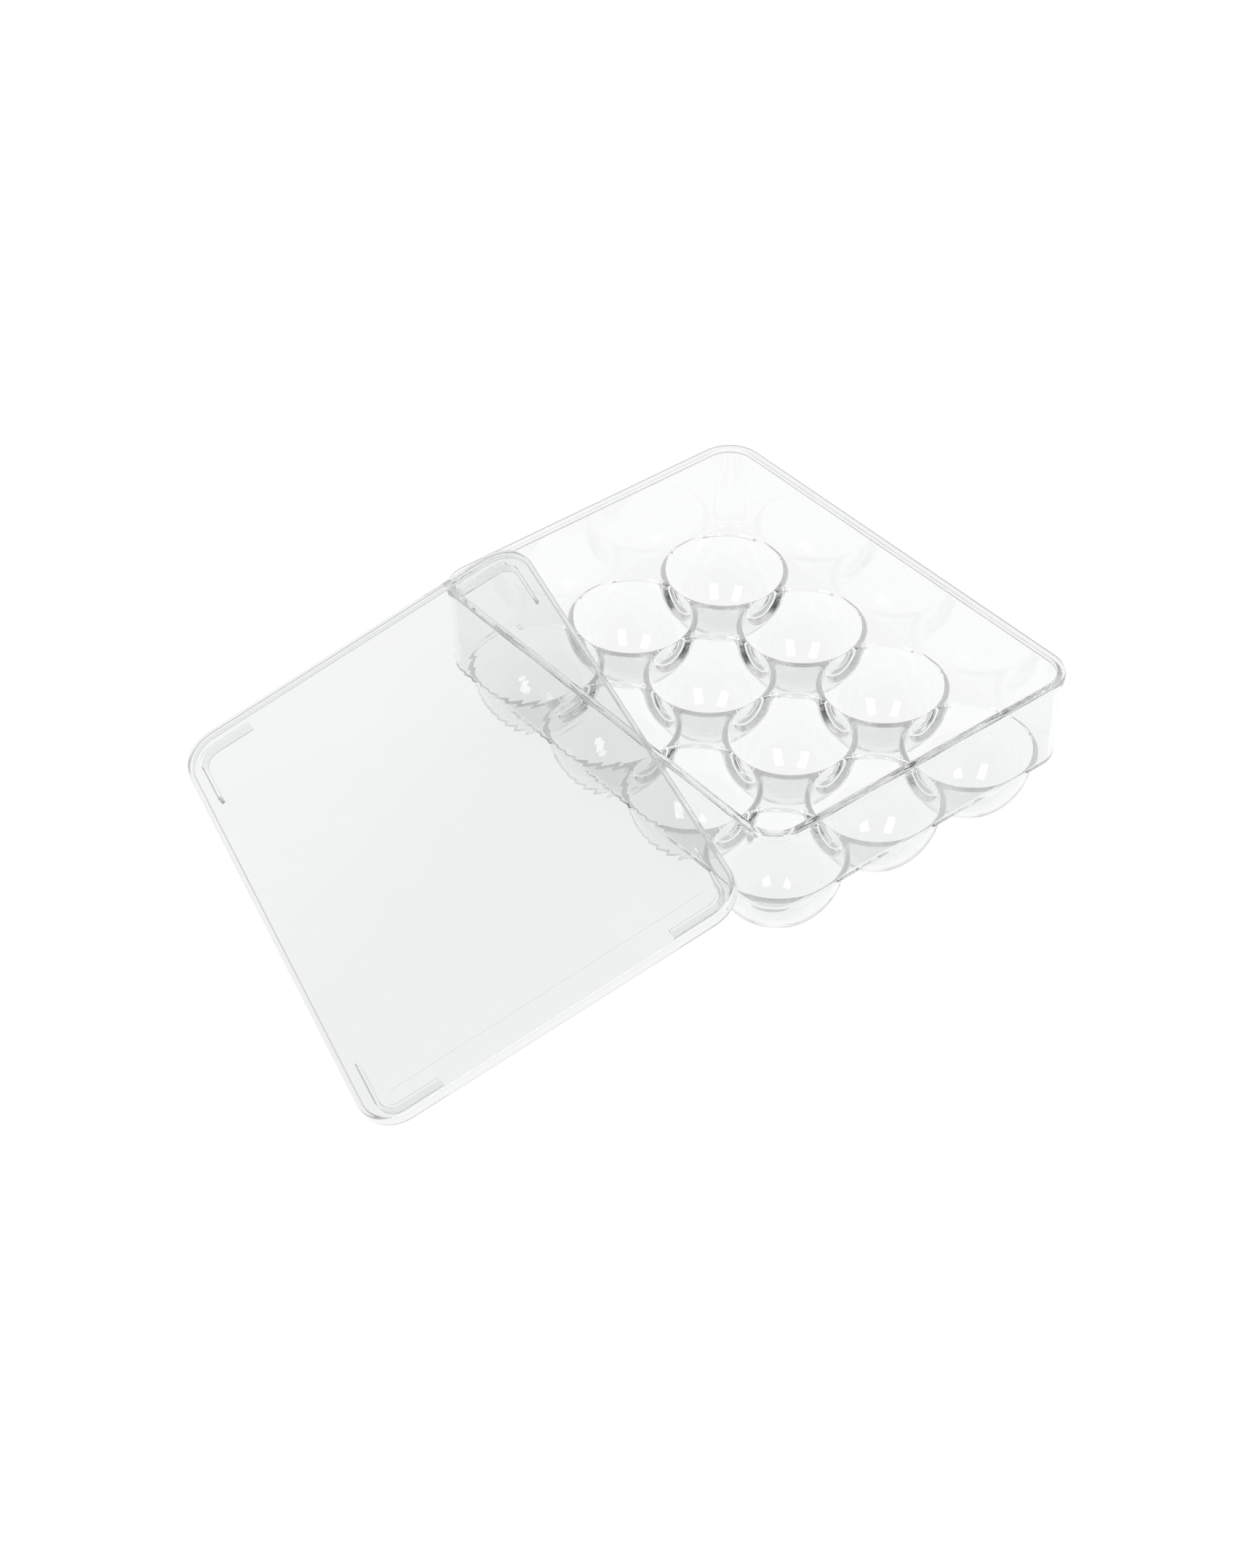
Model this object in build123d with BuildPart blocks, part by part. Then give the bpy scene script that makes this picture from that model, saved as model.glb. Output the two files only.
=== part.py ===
from build123d import *
import os
from math import cos, radians, sin

os.makedirs("parts", exist_ok=True)

# Egg keeper: a clear moulded tray with a block of bowls for eggs, and a clear loose lid that
# lifts straight off. Here the lid is off: one corner stands on the table in front of the tray and
# its underside leans on the tray's front rim. Millimetres, +Z up, table at Z = 0, tray's long
# side along X, front of the tray towards -Y. The origin is on the table under the middle of
# the whole group.

# Bowls
bowls_long = 4
bowls_short = 3
bowl_spacing = 50.0
bowl_radius = 24.8        # inside radius just under the lip
bowl_deep = 27.8          # from under the lip down to the inside bottom
bowl_draft = 10.0         # degrees, the side of a bowl before it rounds into the bottom
bowl_lip = 1.4            # turn between a bowl and the deck
bowl_wall = 1.9           # wall at the top of a bowl
bowl_floor = 1.5          # wall at the bottom of a bowl
bulb_foot_cut = 0.7       # cut off the outside bottom, which leaves a flat foot
web_deep = 13.4           # depth of the web that joins two neighbouring bowls, below the deck
web_half = 10.5           # its half width at the deck
web_thick = 2.0

# Tray
tray_height = 70.5
deck_thick = 2.0
mouth_long = 202.0        # clear opening at the rim
mouth_short = 152.4
mouth_corner = 11.4
wall_thick = 2.0
wall_draft = 0.5          # degrees, the walls open upwards
wall_foot_round = 2.5     # outer rounding under the walls
deck_corner_round = 1.2   # inner rounding between the walls and the deck
rim_width = 3.6           # flat rim on which the closed lid sits
rim_tall = 2.9            # height of the rim's outer band
rim_round = 0.8

# Lid
lid_overhang = 0.5        # past the tray's rim on each side
lid_plate = 2.0
lid_height = 5.0          # over all, with the skirt
skirt_thick = 2.0
lid_edge_round = 0.9
rib_play = 1.8            # between the locating ribs and the mouth of the tray
rib_thick = 1.5
rib_drop = 2.0            # how far the ribs reach below the skirt
rib_corner = 8.0
rib_long_end = 71.0       # the gap in the ribs on the long sides ends here, from the middle
rib_short_end = 51.0      # the same on the short sides
reed_pitch = 4.7
reed_tall = 0.12
reed_margin = 5.0         # plain strip between the reeds and the locating ribs

# The lid off the tray
lid_lean = 24.2           # degrees from level
lid_turn = 15.0           # degrees, turned on its own plane, left end up
lid_shift = 5.9           # middle of the lid to the left of the middle of the tray
lean_gap = 0.3            # between the lid's underside and the rim

# Shared sizes
lip_height = bowl_floor + bowl_deep
lip_rise = bowl_lip * (1 + sin(radians(bowl_draft)))
deck_height = lip_height + lip_rise
bowl_outer = bowl_radius + bowl_wall
bulb_deep = lip_height + bulb_foot_cut
rim_long = mouth_long + 2 * rim_width
rim_short = mouth_short + 2 * rim_width
rim_corner = mouth_corner + rim_width
lid_long = rim_long + 2 * lid_overhang
lid_short = rim_short + 2 * lid_overhang
lid_corner = rim_corner + lid_overhang
rib_long = mouth_long - 2 * rib_play
rib_short = mouth_short - 2 * rib_play
reed_length = rib_short - 2 * (rib_thick + reed_margin)
reed_count = int((rib_long - 2 * (rib_thick + reed_margin)) / reed_pitch)

# Place of the leaning lid, first measured from the middle of the tray. The underside of the skirt
# is a plane that clears the rounded front rim by lean_gap and meets the table along foot_y.
# slope_y and slope_z point up the slope.
slope_y = cos(radians(lid_lean))
slope_z = sin(radians(lid_lean))
turn_c = cos(radians(lid_turn))
turn_s = sin(radians(lid_turn))
rest_y = -rim_short / 2 + rim_round - (rim_round + lean_gap) * slope_z
rest_z = tray_height - rim_round + (rim_round + lean_gap) * slope_y
foot_y = rest_y - rest_z * slope_y / slope_z
skirt_reach = ((lid_long / 2 - lid_corner) * turn_s + (lid_short / 2 - lid_corner) * turn_c
               + lid_corner)
rib_reach = ((rib_long / 2 - rib_corner) * turn_s + (rib_short / 2 - rib_corner) * turn_c
             + rib_corner + rib_drop * slope_y / slope_z)
lid_up = max(skirt_reach, rib_reach)
lid_y = foot_y + lid_up * slope_y
front_y = (lid_y - skirt_reach * slope_y - (lid_height - lid_edge_round) * slope_z
           - lid_edge_round * (1 - slope_y))

# Middle of the tray in the frame of the whole group
tray_x = lid_shift
tray_y = -(rim_short / 2 + front_y) / 2
lid_frame = Plane(
    origin=(0, tray_y + lid_y, lid_up * slope_z),
    x_dir=(turn_c, -turn_s * slope_y, -turn_s * slope_z),
    z_dir=(0, -slope_z, slope_y),
)
tray_frame = Plane(origin=(tray_x, tray_y, 0))
plate_under = lid_frame.offset(lid_height - lid_plate)
reed_plane = Plane(
    origin=plate_under.origin, x_dir=plate_under.x_dir, z_dir=-plate_under.y_dir
)


def bowl_outline(radius, deep):
    """Half section of a bowl: a drafted side that runs smoothly into a round bottom."""
    draft = radians(bowl_draft)
    drop = (deep - radius * cos(draft)) / (1 - sin(draft))
    bottom_round = deep - drop
    Line((radius, 0), (bottom_round * cos(draft), -drop - bottom_round * sin(draft)))
    CenterArc((0, -drop), bottom_round, 270, 90 - bowl_draft)


# What the four walls enclose, a little wider at the mouth, carried down to the table
with BuildPart() as shaft:
    with BuildSketch(tray_frame.offset(tray_height)):
        RectangleRounded(mouth_long, mouth_short, mouth_corner)
    extrude(amount=-tray_height, taper=wall_draft)

# The outer faces of the walls, carried down the same way
with BuildPart() as hull:
    with BuildSketch(tray_frame.offset(tray_height)):
        RectangleRounded(
            mouth_long + 2 * wall_thick,
            mouth_short + 2 * wall_thick,
            mouth_corner + wall_thick,
        )
    extrude(amount=-tray_height, taper=wall_draft)

# The part of the room above the deck
with BuildPart() as room:
    add(shaft.part)
    split(bisect_by=tray_frame.offset(deck_height), keep=Keep.TOP)
    fillet(room.edges().group_by(Axis.Z)[0], deck_corner_round)

# Inside of a bowl. Its lip turns over into the deck in two bevels.
with BuildPart() as bowl_room:
    with BuildSketch(Plane.XZ.rotated((0, 0, 45))):
        with BuildLine():
            bowl_outline(bowl_radius, bowl_deep)
            Polyline(
                (bowl_radius, 0),
                (bowl_radius + 0.26 * bowl_lip, lip_rise - 0.37 * bowl_lip),
                (bowl_radius + bowl_lip, lip_rise),
                (0, lip_rise),
                (0, -bowl_deep),
            )
        make_face()
    revolve(axis=Axis.Z)

# All of them, trimmed where the walls, carried on downwards, cut the outer ones
with BuildPart() as bowl_rooms:
    with Locations(tray_frame.offset(lip_height)):
        with GridLocations(bowl_spacing, bowl_spacing, bowls_long, bowls_short):
            add(bowl_room.part)
    add(shaft.part, mode=Mode.INTERSECT)

# Outside of a bowl, cut off flat where it stands on the table
with BuildPart() as bulb:
    with BuildSketch(Plane.XZ.rotated((0, 0, 45))):
        with BuildLine():
            bowl_outline(bowl_outer, bulb_deep)
            Polyline((bowl_outer, 0), (bowl_outer, lip_rise), (0, lip_rise), (0, -bulb_deep))
        make_face()
    revolve(axis=Axis.Z)
    split(bisect_by=Plane.XY.offset(-lip_height), keep=Keep.TOP)

# All of them, flush with the outer faces of the walls where they reach them
with BuildPart() as bulbs:
    with Locations(tray_frame.offset(lip_height)):
        with GridLocations(bowl_spacing, bowl_spacing, bowls_long, bowls_short):
            add(bulb.part)
    add(hull.part, mode=Mode.INTERSECT)

# Web that joins two neighbouring bowls. The half above the deck is in the open room.
with BuildPart() as web:
    with BuildSketch(Plane.YZ):
        Ellipse(web_half, web_deep)
    extrude(amount=web_thick / 2, both=True)

# The tray, one clear moulding: walls, flat rim, deck, bowls, and the webs between the bowls
with BuildPart() as tray:
    add(hull.part)
    split(bisect_by=tray_frame.offset(deck_height - deck_thick), keep=Keep.TOP)
    fillet(tray.edges().group_by(Axis.Z)[0], wall_foot_round)
    with BuildSketch(tray_frame.offset(tray_height - rim_tall)):
        RectangleRounded(rim_long, rim_short, rim_corner)
    extrude(amount=rim_tall)
    fillet(
        tray.faces().sort_by(Axis.Z)[-1].edges()
        + tray.faces().filter_by(Axis.Z).sort_by(Axis.Z)[-2].outer_wire().edges(),
        rim_round,
    )
    add(bulbs.part)
    with Locations(tray_frame.offset(deck_height)):
        with GridLocations(bowl_spacing, bowl_spacing, bowls_long - 1, bowls_short):
            add(web.part)
        with GridLocations(bowl_spacing, bowl_spacing, bowls_long, bowls_short - 1):
            add(web.part, rotation=(0, 0, 90))
    add(room.part, mode=Mode.SUBTRACT)
    add(bowl_rooms.part, mode=Mode.SUBTRACT)
tray.part.label = "tray"
export_step(tray.part, "parts/tray.step")

# Reeds: shallow convex strips side by side, across the lid
with BuildPart() as reeds:
    with BuildSketch(reed_plane):
        with BuildLine():
            for i in range(reed_count):
                left = (i - reed_count / 2) * reed_pitch
                SagittaArc((left, 0), (left + reed_pitch, 0), -reed_tall)
            Polyline(
                (reed_count * reed_pitch / 2, 0),
                (reed_count * reed_pitch / 2, reed_tall),
                (-reed_count * reed_pitch / 2, reed_tall),
                (-reed_count * reed_pitch / 2, 0),
            )
        make_face()
    extrude(amount=reed_length / 2, both=True)

# The lid, one clear moulding: plate, skirt, locating ribs in the corners, and convex reeds all
# over the underside. Its frame stands on the plane of the skirt's edge.
with BuildPart() as lid:
    with BuildSketch(lid_frame):
        RectangleRounded(lid_long, lid_short, lid_corner)
    extrude(amount=lid_height)
    fillet(lid.faces().filter_by(lid_frame).sort_by(Axis.Z)[-1].edges(), lid_edge_round)
    with BuildSketch(lid_frame):
        RectangleRounded(
            lid_long - 2 * skirt_thick,
            lid_short - 2 * skirt_thick,
            lid_corner - skirt_thick,
        )
    extrude(amount=lid_height - lid_plate, mode=Mode.SUBTRACT)
    with BuildSketch(lid_frame.offset(lid_height - lid_plate)):
        RectangleRounded(rib_long, rib_short, rib_corner)
        RectangleRounded(
            rib_long - 2 * rib_thick,
            rib_short - 2 * rib_thick,
            rib_corner - rib_thick,
            mode=Mode.SUBTRACT,
        )
        Rectangle(2 * rib_long_end, lid_short, mode=Mode.SUBTRACT)
        Rectangle(lid_long, 2 * rib_short_end, mode=Mode.SUBTRACT)
    extrude(amount=-(lid_height - lid_plate + rib_drop))
    add(reeds.part)
lid.part.label = "lid"
export_step(lid.part, "parts/lid.step")
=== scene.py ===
import bpy, bmesh
from math import asin, atan2, cos, hypot, pi, radians, sin, sqrt, tan
from mathutils import Matrix, Vector


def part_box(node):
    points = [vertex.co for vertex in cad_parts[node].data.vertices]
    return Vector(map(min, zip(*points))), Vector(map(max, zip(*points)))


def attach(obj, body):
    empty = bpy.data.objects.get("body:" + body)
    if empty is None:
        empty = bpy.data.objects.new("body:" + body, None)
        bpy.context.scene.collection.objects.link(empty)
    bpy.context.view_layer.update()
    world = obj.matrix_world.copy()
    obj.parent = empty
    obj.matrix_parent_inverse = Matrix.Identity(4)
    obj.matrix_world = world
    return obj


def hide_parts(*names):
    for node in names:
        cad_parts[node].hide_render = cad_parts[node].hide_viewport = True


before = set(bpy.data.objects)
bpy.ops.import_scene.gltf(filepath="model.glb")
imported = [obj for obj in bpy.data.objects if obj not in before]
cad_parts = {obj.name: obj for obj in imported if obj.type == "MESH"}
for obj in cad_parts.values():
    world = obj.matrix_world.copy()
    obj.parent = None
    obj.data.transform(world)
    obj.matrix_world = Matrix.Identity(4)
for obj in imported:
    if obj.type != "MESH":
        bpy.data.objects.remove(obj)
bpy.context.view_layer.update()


# Tray: one moulding of hard clear plastic. Its bowls hang from a thin deck, and all inner edges
# are small rounds left by the tool. The metres below follow the solid in the frame, with half
# ovals for the bowls and rounds for their bevelled lips.
tray_low, tray_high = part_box("tray")
tray_middle = ((tray_low.x + tray_high.x) / 2, (tray_low.y + tray_high.y) / 2)
bowls_long, bowls_short = 4, 3
bowl_pitch = 0.050
bowl_radius, bowl_deep = 0.0249, 0.0285
bulb_radius, bulb_deep = 0.0267, 0.0307
bowl_level = 0.030        # widest level of the bowls above the table
bowl_columns = [(i - (bowls_long - 1) / 2) * bowl_pitch for i in range(bowls_long)]
bowl_rows = [(j - (bowls_short - 1) / 2) * bowl_pitch for j in range(bowls_short)]
deck_top, deck_under = 0.0309, 0.0289
edge_round = 0.0011       # where a bowl turns over into the deck
ridge_round = 0.00035     # on the thin ridge where two bowls all but touch
crotch_round = 0.0009     # between two bulbs, seen from below
mouth_long, mouth_short, mouth_corner = 0.1010, 0.0762, 0.0114   # half sizes
rim_top = tray_high.z
wall_slope = tan(radians(0.5))
wall_thick = 0.0020
inner_levels, outer_levels = (0.040, 0.055), (0.055, 0.042, 0.0325)
wall_foot_round = 0.0025
deck_corner_round = 0.0012
rim_width, rim_tall, rim_round = 0.0036, 0.0029, 0.0008
mouth_round, rim_throat = 0.0005, 0.0004
oval_steps, round_steps, crest_steps, corner_steps = 30, 8, 3, 18
along_side = [0.001 * t for t in (*range(13), 14, 16.5, 19, 22, 25)]    # from a bowl's middle
stop_clear = 0.0008       # the least room between such a stop and the foot of a wall
lip_share, foot_share = 0.68, 0.95    # of a narrow gap: for the lip, and of the rest for the foot
crest_share = 0.8         # of the room beside a bowl: for the round on a ridge
level_shares = (0.12, 0.5, 1.0)       # places on the level strip beyond a lip
steepest_turn = 1.2       # radians, as far round its oval as a lip may sink
deepest_cut = 0.02        # as far below its widest level as a wall may cut a bowl
tight_gap = 2e-5          # a bowl nearer to the wall than this is cut by the wall


def oval_point(radius, deep, turn, beyond=0.0):
    """A point of an oval section, turn radians below its widest level, and moved outwards."""
    across, down = cos(turn) / radius, sin(turn) / deep
    size = hypot(across, down)
    return (radius * cos(turn) + beyond * across / size, -deep * sin(turn) - beyond * down / size)


def falls_to(low, high, value):
    """The argument between low and high where a falling function passes zero."""
    for _ in range(50):
        middle = (low + high) / 2
        if value(middle) > 0:
            low = middle
        else:
            high = middle
    return (low + high) / 2


def up_and_over(radius, deep, start, ball, flat, reach, ridge=None):
    """Section of a bowl along one ray: up the oval, round a ball, and on level to the reach. With
    a ridge the ball stays put and is cut off by a small round; without one it sinks to fit."""
    turn = 0.0
    if reach < radius + ball and ridge is None:
        turn = falls_to(
            0, steepest_turn, lambda a: oval_point(radius, deep, a, ball)[0] - reach)
    if ball > flat:
        turn = max(turn, falls_to(
            0, steepest_turn, lambda a: oval_point(radius, deep, a, ball)[1] + ball - flat))
    section = []
    for i in range(oval_steps + 1):
        section.append(oval_point(radius, deep, start + (turn - start) * i / oval_steps))
    across, height = oval_point(radius, deep, turn, ball)
    if turn == 0:
        height = flat - ball
    edge = oval_point(radius, deep, turn)
    first = atan2(edge[1] - oval_point(radius, deep, turn, ball)[1], edge[0] - across)
    last, crest = pi / 2, 0.0
    if ridge is not None and reach < across:
        crest = min(ridge, crest_share * (reach - radius))
        rise = sqrt((ball - crest) ** 2 - (across - reach) ** 2)
        last = atan2(rise, reach - across)
    for i in range(round_steps + 1):
        a = first + (last - first) * i / round_steps
        section.append((across + ball * cos(a), height + ball * sin(a)))
    if crest:
        for i in range(1, crest_steps + 1):
            a = last + (pi / 2 - last) * i / crest_steps
            section.append((reach + crest * cos(a), height + rise + crest * sin(a)))
    else:
        for share in level_shares:
            section.append((across + (max(reach, across) - across) * share, height + ball))
    return section


def up_to(radius, deep, start, reach, height):
    """Section of a bowl that a wall cuts off at a reach and height on its oval."""
    turn = asin(min(1, max(0, -height / deep)))
    section = []
    for i in range(oval_steps + 1):
        section.append(oval_point(radius, deep, start + (turn - start) * i / oval_steps))
    return section + [(reach, height)] * (round_steps + 1 + crest_steps)


def outline_columns(half_long, half_short, corner, long_stops, short_stops, turn_steps):
    """Places round a rounded rectangle, each with its outward direction, in order."""
    columns = []
    for quarter in range(4):
        side_x, side_y = ((1, 1), (-1, 1), (-1, -1), (1, -1))[quarter]
        centre = (side_x * (half_long - corner), side_y * (half_short - corner))
        for i in range(turn_steps + 1):
            a = (quarter + i / turn_steps) * pi / 2
            out_x, out_y = cos(a), sin(a)
            columns.append((centre[0] + corner * out_x, centre[1] + corner * out_y, out_x, out_y))
        if quarter in (0, 2):
            stops = sorted(s for s in long_stops if abs(s) < half_long - corner)
            columns += [(s, side_y * half_short, 0, side_y)
                        for s in (stops[::-1] if quarter == 0 else stops)]
        else:
            stops = sorted(s for s in short_stops if abs(s) < half_short - corner)
            columns += [(side_x * half_long, s, side_x, 0)
                        for s in (stops[::-1] if quarter == 1 else stops)]
    return columns


def arc_points(centre, radius, first, last, steps):
    """Points of an arc in a section, angles in degrees."""
    points = []
    for i in range(steps + 1):
        a = radians(first + (last - first) * i / steps)
        points.append((centre[0] + radius * cos(a), centre[1] + radius * sin(a)))
    return points


def moulding(name, sheets, middle=(0, 0)):
    """One closed mesh from sheets, each a list of rows of points, welded along their edges."""
    mesh = bpy.data.meshes.new(name)
    points, faces = [], []
    for rows, closed in sheets:
        start, width = len(points), len(rows[0])
        for row in rows:
            points += [(x + middle[0], y + middle[1], z) for x, y, z in row]
        for i in range(len(rows) if closed else len(rows) - 1):
            here, there = start + i * width, start + (i + 1) % len(rows) * width
            faces += [(here + j, here + j + 1, there + j + 1, there + j) for j in range(width - 1)]
    mesh.from_pydata(points, [], faces)
    made = bmesh.new()
    made.from_mesh(mesh)
    bmesh.ops.remove_doubles(made, verts=made.verts, dist=2e-6)
    bmesh.ops.dissolve_degenerate(made, dist=1e-7, edges=made.edges)
    bmesh.ops.recalc_face_normals(made, faces=made.faces)
    for face in made.faces:
        face.smooth = True
    made.to_mesh(mesh)
    made.free()
    piece = bpy.data.objects.new(name, mesh)
    bpy.context.collection.objects.link(piece)
    return piece


def tray_rim_section():
    """Over the rim from the mouth to the outer wall: distance outwards from the mouth, height."""
    top, under = rim_top, rim_top - rim_tall
    wall = wall_thick - rim_tall * wall_slope
    out = rim_width - rim_round
    section = arc_points((mouth_round, top - mouth_round), mouth_round, 180, 90, 5)
    section += arc_points((out, top - rim_round), rim_round, 90, 0, 7)
    section += arc_points((out, under + rim_round), rim_round, 0, -90, 7)
    section += [(wall + rim_throat + 0.0002, under)]
    section += arc_points((wall + rim_throat, under - rim_throat), rim_throat, 90, 180, 5)
    return section


def wall_column(column, bowl):
    """One section of the wall: from the deck or bowl inside, over the rim, to the deck or bulb
    outside. Also the round at which the bowl's rays meet it on either side, or None for a cut."""
    px, py, nx, ny = column

    def inner(height, inset=0.0):
        out = -(rim_top - height) * wall_slope - inset
        return px + nx * out, py + ny * out, height

    def outer(height, inset=0.0):
        return inner(height, inset - wall_thick)

    def away(point):
        return hypot(point[0] - bowl[0], point[1] - bowl[1])

    gap = away(inner(bowl_level)) - bowl_radius
    points = []
    if gap > tight_gap:      # room for the lip, and what is left of it for the foot of the wall
        lip = min(edge_round, lip_share * gap)
        fillet = min(deck_corner_round, foot_share * (gap - lip))
        for i in range(round_steps + 1):
            a = pi / 2 * i / round_steps
            points.append(inner(deck_top + fillet * (1 - cos(a)), fillet * (1 - sin(a))))
    else:
        lip = None

        def inside(down):
            point = inner(bowl_level - down)
            return 1 - (away(point) / bowl_radius) ** 2 - (down / bowl_deep) ** 2

        bottom = bowl_level - falls_to(0, deepest_cut, inside)
        top = deck_top + deck_corner_round
        for i in range(round_steps + 1):
            points.append(inner(bottom + (top - bottom) * i / round_steps))
    for height in (deck_top + 1.4 * deck_corner_round, *inner_levels, rim_top - 2 * mouth_round):
        points.append(inner(height))
    for out, height in tray_rim_section():
        points.append((px + nx * out, py + ny * out, height))
    for height in (rim_top - rim_tall - 2.5 * rim_throat, *outer_levels):
        points.append(outer(height))

    def foot(turn):
        height = deck_under + wall_foot_round * (1 - sin(turn))
        return outer(height, wall_foot_round * (1 - cos(turn)))

    def clear(point):
        down = max(0, bowl_level - point[2])
        return away(point) - bulb_radius * sqrt(1 - (down / bulb_deep) ** 2)

    under = None
    if clear(foot(0)) < 0:
        bottom = bowl_level - falls_to(
            0, deepest_cut, lambda down: -clear(outer(bowl_level - down)))
        top = deck_under + wall_foot_round
        for i in range(round_steps + 1):
            points.append(outer(top + (bottom - top) * i / round_steps))
    else:
        last = pi / 2
        if clear(foot(last)) < 0:
            last = falls_to(0, last, lambda turn: clear(foot(turn)))
        else:
            spare = clear(foot(last))
            under = min(crotch_round, foot_share * spare)
        for i in range(round_steps + 1):
            points.append(foot(last * i / round_steps))
    return points, lip, under


def nearest(value, places):
    """The place of the nearest bowl of a row of bowls."""
    place = round(value / bowl_pitch + (len(places) - 1) / 2)
    return places[min(len(places) - 1, max(0, place))]


def clear_tray():
    """The whole tray as one closed skin."""
    long_stops, short_stops = (
        {round(place + s * t, 6) for place in places for t in along_side for s in (-1, 1)}
        for places in (bowl_columns, bowl_rows))
    walls, tops, unders = [], {}, {}
    for column in outline_columns(mouth_long, mouth_short, mouth_corner,
                                  long_stops, short_stops, corner_steps):
        px, py, nx, ny = column
        homes = {(nearest(px - dx, bowl_columns), nearest(py - dy, bowl_rows))
                 for dx in (-1e-4, 1e-4) for dy in (-1e-4, 1e-4)}
        for home in homes:
            points, lip, under = wall_column(column, home)
            tops.setdefault(home, []).append((points[0], lip))
            unders.setdefault(home, []).append((points[-1], under))
        walls.append(points)
    sheets = [(walls, True)]
    foot_turn = asin(bowl_level / bulb_deep)
    for cx in bowl_columns:
        for cy in bowl_rows:
            middles = []
            for t in along_side:
                for s in (-1, 1):
                    for side in (-1, 1):
                        middles.append((cx + side * bowl_pitch / 2, cy + s * t))
                        middles.append((cx + s * t, cy + side * bowl_pitch / 2))
            for ends, above in ((tops, True), (unders, False)):
                if above:
                    slack = (rim_top - deck_top) * wall_slope + deck_corner_round
                else:
                    slack = (rim_top - deck_under) * wall_slope + wall_foot_round - wall_thick
                slack += stop_clear
                stops = {(round(x, 6), round(y, 6)): None for x, y in middles
                         if abs(x) < mouth_long - slack and abs(y) < mouth_short - slack
                         and abs(x) < bowl_pitch * bowls_long / 2 - 1e-4
                         and abs(y) < bowl_pitch * bowls_short / 2 - 1e-4}
                rays = []
                for x, y in stops:
                    reach = hypot(x - cx, y - cy)
                    if above:
                        section = up_and_over(bowl_radius, bowl_deep, pi / 2, edge_round,
                                              deck_top - bowl_level, reach, ridge_round)
                    else:
                        section = up_and_over(bulb_radius, bulb_deep, foot_turn, crotch_round,
                                              deck_under - bowl_level, reach)
                    rays.append((atan2(y - cy, x - cx), section, (x, y, None)))
                for (x, y, z), ball in ends.get((cx, cy), []):
                    reach = hypot(x - cx, y - cy)
                    radius, deep = (bowl_radius, bowl_deep) if above else (bulb_radius, bulb_deep)
                    start = pi / 2 if above else foot_turn
                    if ball is None:
                        section = up_to(radius, deep, start, reach, z - bowl_level)
                    else:
                        section = up_and_over(radius, deep, start, ball, z - bowl_level, reach)
                    rays.append((atan2(y - cy, x - cx), section, (x, y, z)))
                rays.sort(key=lambda ray: ray[0])
                rows = []
                for angle, section, end in rays:
                    row = [(cx, cy, bowl_level - bowl_deep if above else 0.0)]
                    row += [(cx + r * cos(angle), cy + r * sin(angle), bowl_level + z)
                            for r, z in section]
                    if end[2] is not None:
                        row[-1] = end
                    rows.append(row)
                sheets.append((rows, True))
    return moulding("tray_moulding", sheets, tray_middle)


def clear_plastic(name, tint, density):
    """Polished clear plastic. Flow in the mould leaves it a little uneven, in broad soft waves and
    a finer orange peel, and handling leaves faint cloudy patches. Shadows pass through it."""
    material = bpy.data.materials.new(name)
    material.use_nodes = True
    nodes, links = material.node_tree.nodes, material.node_tree.links
    plastic = nodes["Principled BSDF"]
    plastic.inputs["Base Color"].default_value = (*tint, 1)
    plastic.inputs["Transmission Weight"].default_value = 1
    plastic.inputs["IOR"].default_value = 1.5
    place = nodes.new("ShaderNodeTexCoord")
    waves = nodes.new("ShaderNodeTexNoise")
    waves.inputs["Scale"].default_value = 45
    waves.inputs["Detail"].default_value = 1
    peel = nodes.new("ShaderNodeTexNoise")
    peel.inputs["Scale"].default_value = 420
    peel.inputs["Detail"].default_value = 2
    skin = nodes.new("ShaderNodeMath")     # waves, with a little of the peel added
    skin.operation = "MULTIPLY_ADD"
    skin.inputs[1].default_value = 0.04
    bump = nodes.new("ShaderNodeBump")
    bump.inputs["Strength"].default_value = 0.5
    bump.inputs["Distance"].default_value = 0.00012
    cloud = nodes.new("ShaderNodeTexNoise")
    cloud.inputs["Scale"].default_value = 30
    haze = nodes.new("ShaderNodeMapRange")
    haze.inputs["From Min"].default_value = 0.45
    haze.inputs["From Max"].default_value = 0.8
    haze.inputs["To Min"].default_value = 0.0
    haze.inputs["To Max"].default_value = 0.03
    for texture in (waves, peel, cloud):
        links.new(place.outputs["Object"], texture.inputs["Vector"])
    links.new(peel.outputs["Fac"], skin.inputs[0])
    links.new(waves.outputs["Fac"], skin.inputs[2])
    links.new(skin.outputs[0], bump.inputs["Height"])
    links.new(bump.outputs["Normal"], plastic.inputs["Normal"])
    links.new(cloud.outputs["Fac"], haze.inputs["Value"])
    links.new(haze.outputs["Result"], plastic.inputs["Roughness"])
    rays = nodes.new("ShaderNodeLightPath")
    either = nodes.new("ShaderNodeMath")
    either.operation = "MAXIMUM"
    through = nodes.new("ShaderNodeBsdfTransparent")
    through.inputs["Color"].default_value = (0.87, 0.88, 0.88, 1)
    choose = nodes.new("ShaderNodeMixShader")
    links.new(rays.outputs["Is Shadow Ray"], either.inputs[0])
    links.new(rays.outputs["Is Diffuse Ray"], either.inputs[1])
    links.new(either.outputs[0], choose.inputs["Fac"])
    links.new(plastic.outputs["BSDF"], choose.inputs[1])
    links.new(through.outputs["BSDF"], choose.inputs[2])
    links.new(choose.outputs["Shader"], nodes["Material Output"].inputs["Surface"])
    depth = nodes.new("ShaderNodeVolumeAbsorption")
    depth.inputs["Color"].default_value = (0.0, 0.03, 0.03, 1)
    depth.inputs["Density"].default_value = density
    links.new(depth.outputs["Volume"], nodes["Material Output"].inputs["Volume"])
    return material


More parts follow.
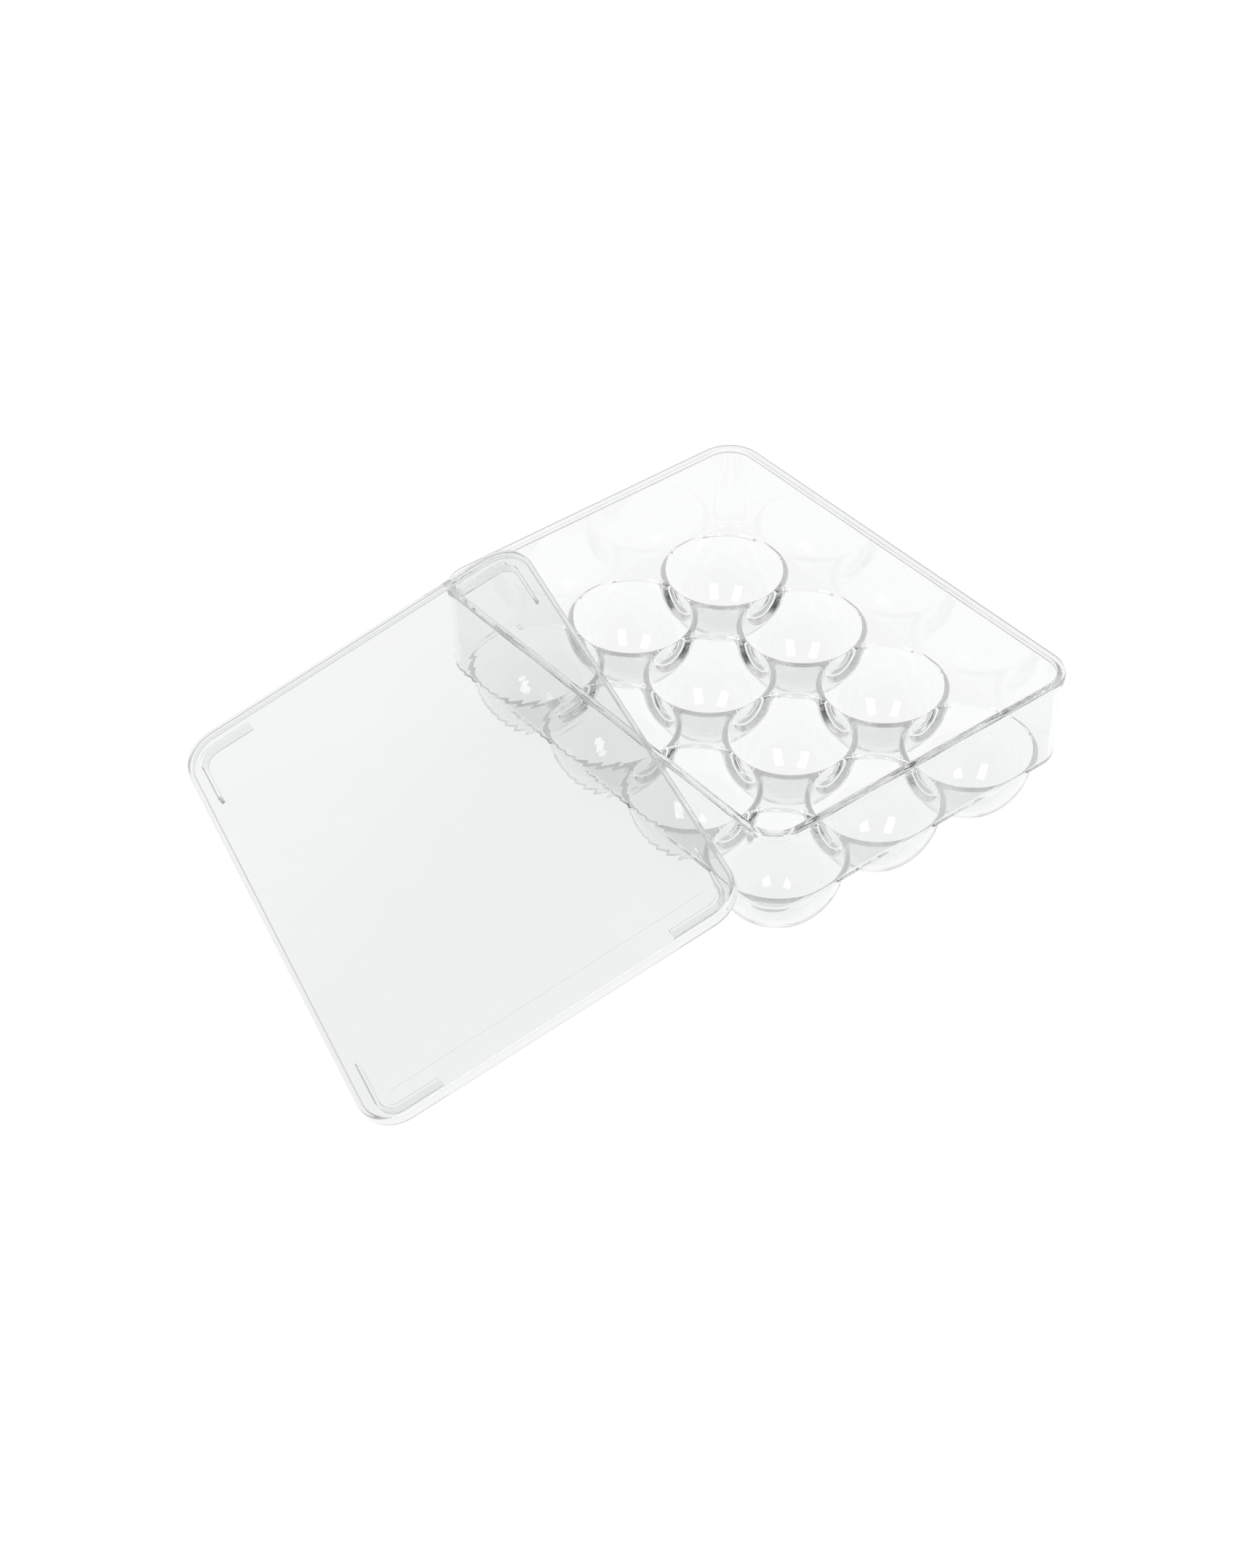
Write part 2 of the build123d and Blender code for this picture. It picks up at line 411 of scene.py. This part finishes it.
def true_normals(piece):
    """Keeps flat faces flat in the shading, up to the small rounds beside them."""
    weighted = piece.modifiers.new("weighted normals", "WEIGHTED_NORMAL")
    weighted.mode = "FACE_AREA"
    weighted.weight = 50
    weighted.keep_sharp = True


tray = clear_tray()
tray.data.materials.append(clear_plastic("clear plastic tray", (0.94, 0.946, 0.946), 0.8))
true_normals(tray)
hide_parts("tray")
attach(tray, "tray")


# Lid: a loose clear moulding. A flat plate with a short skirt, four corner ribs that find the
# mouth of the tray, and shallow flutes moulded across its underside. Here it leans on the rim.
lid_lean, lid_turn = radians(24.2), radians(15.0)
lid_place = Vector((0, -0.0650251, 0.0415179))    # middle of the plane of the skirt's edge
lid_long, lid_short, lid_corner = 0.1051, 0.0803, 0.0155     # half sizes
lid_height, lid_plate, skirt_thick = 0.0050, 0.0020, 0.0020
lid_round, skirt_round, skirt_throat = 0.0009, 0.00095, 0.0002
rib_long, rib_short, rib_corner = 0.0992, 0.0744, 0.0080     # half sizes
rib_thick, rib_reach, rib_round = 0.0015, -0.0020, 0.0003
rib_long_end, rib_short_end = 0.0730, 0.0495
flute_pitch, flute_deep, flute_count = 0.0047, 0.00004, 39
flute_half_length, flute_foot = 0.0679, 0.00002
flute_steps, lid_corner_steps, rib_corner_steps = 8, 20, 12
sharp_angle = radians(28)      # edges sharper than this are left unsmoothed


def corner_rib(side_x, side_y, shrink):
    """Outline of one corner rib, drawn in by shrink."""
    outer = [(rib_long_end + shrink, rib_short - shrink)]
    inner = [(rib_long_end + shrink, rib_short - rib_thick + shrink)]
    centre = (rib_long - rib_corner, rib_short - rib_corner)
    outer += arc_points(centre, rib_corner - shrink, 90, 0, rib_corner_steps)
    inner += arc_points(centre, rib_corner - rib_thick + shrink, 90, 0, rib_corner_steps)
    outer += [(rib_long - shrink, rib_short_end + shrink)]
    inner += [(rib_long - rib_thick + shrink, rib_short_end + shrink)]
    return [(side_x * x, side_y * y) for x, y in outer + inner[::-1]]


def clear_lid():
    """The lid as one closed skin. It is drawn level and then leant into place. The underside of
    its plate is filled in between the skirt, the ribs and the flutes."""
    plate_under = lid_height - lid_plate
    inner = skirt_thick
    section = [(inner + 2.5 * skirt_throat, plate_under)]
    section += [(inner + skirt_throat - d, plate_under - skirt_throat + h)
                for d, h in arc_points((0, 0), skirt_throat, 90, 0, 5)]
    section += [(inner - skirt_round + d, skirt_round + h)
                for d, h in arc_points((0, 0), skirt_round, 0, -90, 8)]
    section += [(skirt_round + d, skirt_round + h)
                for d, h in arc_points((0, 0), skirt_round, -90, -180, 8)]
    section += [(lid_round + d, lid_height - lid_round + h)
                for d, h in arc_points((0, 0), lid_round, 180, 90, 10)]
    section += [(2.2 * lid_round, lid_height)]
    made = bmesh.new()

    def ring(points):
        return [made.verts.new(p) for p in points]

    def band(first, second, closed=True):
        count = len(first)
        for i in range(count if closed else count - 1):
            k = (i + 1) % count
            made.faces.new((first[i], first[k], second[k], second[i]))

    columns = outline_columns(lid_long, lid_short, lid_corner, [0], [0], lid_corner_steps)
    rings = [ring([(px - nx * d, py - ny * d, h) for px, py, nx, ny in columns])
             for d, h in section]
    for first, second in zip(rings, rings[1:]):
        band(first, second)
    made.faces.new(rings[-1])
    borders = [rings[0]]

    for side_x in (-1, 1):
        for side_y in (-1, 1):
            root = ring([(x, y, plate_under) for x, y in corner_rib(side_x, side_y, 0)])
            side = ring([(x, y, rib_reach + rib_round) for x, y in corner_rib(side_x, side_y, 0)])
            tip = ring([(x, y, rib_reach) for x, y in corner_rib(side_x, side_y, rib_round)])
            band(root, side)
            band(side, tip)
            half = len(tip) // 2
            for i in range(half - 1):
                made.faces.new((tip[i], tip[i + 1], tip[-2 - i], tip[-1 - i]))
            borders.append(root)

    bow = (flute_pitch ** 2 / 4 + flute_deep ** 2) / (2 * flute_deep)
    near, far = [], []
    for i in range(flute_count * flute_steps + 1):
        x = (i / flute_steps - flute_count / 2) * flute_pitch
        off = ((i % flute_steps) / flute_steps - 0.5) * flute_pitch
        dip = flute_foot + bow - sqrt(bow ** 2 - off ** 2)
        near.append(made.verts.new((x, -flute_half_length, plate_under - dip)))
        far.append(made.verts.new((x, flute_half_length, plate_under - dip)))
    band(near, far, closed=False)
    ends = []
    for edge, y in ((near, -flute_half_length), (far, flute_half_length)):
        root = [made.verts.new((vert.co.x, y, plate_under)) for vert in edge[::flute_steps]]
        for i in range(flute_count):
            made.faces.new(edge[i * flute_steps:(i + 1) * flute_steps + 1] + [root[i + 1], root[i]])
        ends.append(root)
    for side in (0, -1):
        made.faces.new((near[side], far[side], ends[1][side], ends[0][side]))
    borders.append(ends[0] + ends[1][::-1])

    made.edges.ensure_lookup_table()
    frame_edges = []
    for border in borders:
        for a, b in zip(border, border[1:] + border[:1]):
            edge = made.edges.get((a, b)) or made.edges.new((a, b))
            frame_edges.append(edge)
    bmesh.ops.triangle_fill(made, use_beauty=True, edges=frame_edges, normal=(0, 0, -1))
    bmesh.ops.recalc_face_normals(made, faces=made.faces)
    for face in made.faces:
        face.smooth = True
    for edge in made.edges:
        if len(edge.link_faces) == 2 and edge.calc_face_angle() > sharp_angle:
            edge.smooth = False
    lean = Matrix.Rotation(lid_lean, 4, "X") @ Matrix.Rotation(-lid_turn, 4, "Z")
    made.transform(Matrix.Translation(lid_place) @ lean)
    mesh = bpy.data.meshes.new("lid_moulding")
    made.to_mesh(mesh)
    made.free()
    piece = bpy.data.objects.new("lid_moulding", mesh)
    bpy.context.collection.objects.link(piece)
    return piece


lid = clear_lid()
lid.data.materials.append(clear_plastic("clear plastic lid", (0.888, 0.895, 0.895), 0.8))
true_normals(lid)
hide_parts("lid")
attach(lid, "lid")


# Camera: stands in front of the lid, to the right, and looks down on the group from about 1.2 m
# away through a long lens.
camera_data = bpy.data.cameras.new("camera")
camera_data.lens = 72.86
camera_data.sensor_width = 36
camera = bpy.data.objects.new("camera", camera_data)
bpy.context.collection.objects.link(camera)
look_at = Vector((0.01282, 0.01052, 0.0300))
round_angle, up_angle, camera_roll = 0.9029825, 0.7133065, -0.0149508
camera_away = 1.247124
back = Vector((sin(round_angle) * cos(up_angle), -cos(round_angle) * cos(up_angle), sin(up_angle)))
camera.location = look_at + back * camera_away
camera.rotation_mode = "QUATERNION"
camera.rotation_quaternion = (back.to_track_quat("Z", "Y").to_matrix()
                              @ Matrix.Rotation(camera_roll, 3, "Z")).to_quaternion()
bpy.context.scene.camera = camera


# Table and studio: a white sweep that glows a little, two upright soft banks of light, whose
# reflections stand side by side in every bowl, and a dim room with a white panel on the left.
bank_away, bank_wide, bank_tall, bank_power = 1.6, 0.48, 0.85, 16
clear_walls = 48          # light is followed through as many clear surfaces in a row


def white_table():
    """The sweep. Its white comes from its own glow, and its faint shadows from the banks."""
    size, level = 3.0, -0.0002
    mesh = bpy.data.meshes.new("table_top")
    corners = [(x * size, y * size, level) for x, y in ((-1, -1), (1, -1), (1, 1), (-1, 1))]
    mesh.from_pydata(corners, [], [(0, 1, 2, 3)])
    table = bpy.data.objects.new("table_top", mesh)
    bpy.context.collection.objects.link(table)
    material = bpy.data.materials.new("white sweep")
    material.use_nodes = True
    nodes, links = material.node_tree.nodes, material.node_tree.links
    nodes.remove(nodes["Principled BSDF"])
    paper = nodes.new("ShaderNodeBsdfDiffuse")
    paper.inputs["Color"].default_value = (0.075, 0.075, 0.075, 1)
    glow = nodes.new("ShaderNodeEmission")
    rays = nodes.new("ShaderNodeLightPath")
    seen = nodes.new("ShaderNodeMath")
    seen.operation = "MAXIMUM"
    clear = nodes.new("ShaderNodeMath")
    clear.operation = "MAXIMUM"
    level_of_white = nodes.new("ShaderNodeMath")
    level_of_white.operation = "MULTIPLY"
    level_of_white.inputs[1].default_value = 0.95
    links.new(rays.outputs["Is Camera Ray"], seen.inputs[0])
    links.new(rays.outputs["Is Glossy Ray"], seen.inputs[1])
    links.new(seen.outputs[0], clear.inputs[0])
    links.new(rays.outputs["Is Transmission Ray"], clear.inputs[1])
    links.new(clear.outputs[0], level_of_white.inputs[0])
    links.new(level_of_white.outputs[0], glow.inputs["Strength"])
    both = nodes.new("ShaderNodeAddShader")
    links.new(paper.outputs[0], both.inputs[0])
    links.new(glow.outputs[0], both.inputs[1])
    links.new(both.outputs[0], nodes["Material Output"].inputs["Surface"])
    mesh.materials.append(material)


def studio_room():
    """White to the camera, dim to reflections, and an even grey behind the clear walls."""
    world = bpy.data.worlds.new("studio")
    bpy.context.scene.world = world
    world.use_nodes = True
    nodes, links = world.node_tree.nodes, world.node_tree.links
    seen = nodes["Background"]
    place = nodes.new("ShaderNodeTexCoord")
    split = nodes.new("ShaderNodeSeparateXYZ")
    ramp = nodes.new("ShaderNodeValToRGB")
    ramp.color_ramp.elements[0].position = 0.0
    ramp.color_ramp.elements[0].color = (0.08, 0.08, 0.08, 1)
    ramp.color_ramp.elements[1].position = 0.9
    ramp.color_ramp.elements[1].color = (0.15, 0.15, 0.15, 1)
    middle = ramp.color_ramp.elements.new(0.35)
    middle.color = (0.25, 0.25, 0.25, 1)
    links.new(place.outputs["Generated"], split.inputs[0])
    links.new(split.outputs["Z"], ramp.inputs["Fac"])
    inside = nodes.new("ShaderNodeMix")    # sockets 6 and 7 of a colour mix are its two colours
    inside.data_type = "RGBA"
    inside.inputs[7].default_value = (0.65, 0.65, 0.65, 1)
    side = nodes.new("ShaderNodeMapRange")
    side.interpolation_type = "SMOOTHSTEP"
    side.inputs["From Min"].default_value = -0.61
    side.inputs["From Max"].default_value = -0.66
    panel = nodes.new("ShaderNodeMix")
    panel.data_type = "RGBA"
    panel.inputs[7].default_value = (0.95, 0.95, 0.95, 1)
    links.new(split.outputs["X"], side.inputs["Value"])
    links.new(side.outputs["Result"], panel.inputs[0])
    links.new(ramp.outputs["Color"], panel.inputs[6])
    links.new(panel.outputs[2], inside.inputs[6])
    links.new(inside.outputs[2], seen.inputs["Color"])
    backdrop = nodes.new("ShaderNodeBackground")
    backdrop.inputs["Strength"].default_value = 1
    backdrop.inputs["Color"].default_value = (1, 1, 1, 1)
    rays = nodes.new("ShaderNodeLightPath")
    links.new(rays.outputs["Is Transmission Ray"], inside.inputs[0])
    choose = nodes.new("ShaderNodeMixShader")
    links.new(rays.outputs["Is Camera Ray"], choose.inputs["Fac"])
    links.new(seen.outputs["Background"], choose.inputs[1])
    links.new(backdrop.outputs["Background"], choose.inputs[2])
    links.new(choose.outputs[0], nodes["World Output"].inputs["Surface"])


def soft_bank(name, direction, turned):
    """An upright soft box that faces the middle of the table, turned on its own axis. It shows
    in reflections and stays out of what the clear edges bend."""
    lamp = bpy.data.lights.new(name, "AREA")
    lamp.shape = "RECTANGLE"
    lamp.size, lamp.size_y = bank_wide, bank_tall
    lamp.energy = bank_power
    bank = bpy.data.objects.new(name, lamp)
    bpy.context.collection.objects.link(bank)
    bank.visible_transmission = False
    towards = Vector(direction).normalized()
    bank.location = towards * bank_away
    bank.rotation_mode = "QUATERNION"
    bank.rotation_quaternion = (towards.to_track_quat("Z", "Y").to_matrix()
                                @ Matrix.Rotation(turned, 3, "Z")).to_quaternion()


white_table()
studio_room()
soft_bank("right bank", (0.531, 0.091, 0.842), radians(-34))
soft_bank("left bank", (-0.097, -0.492, 0.863), radians(34))
bpy.context.scene.view_settings.view_transform = "Standard"
depths = bpy.context.scene.cycles
depths.max_bounces = clear_walls
depths.transmission_bounces = clear_walls
depths.glossy_bounces = clear_walls
depths.transparent_max_bounces = clear_walls
depths.sample_clamp_indirect = 7
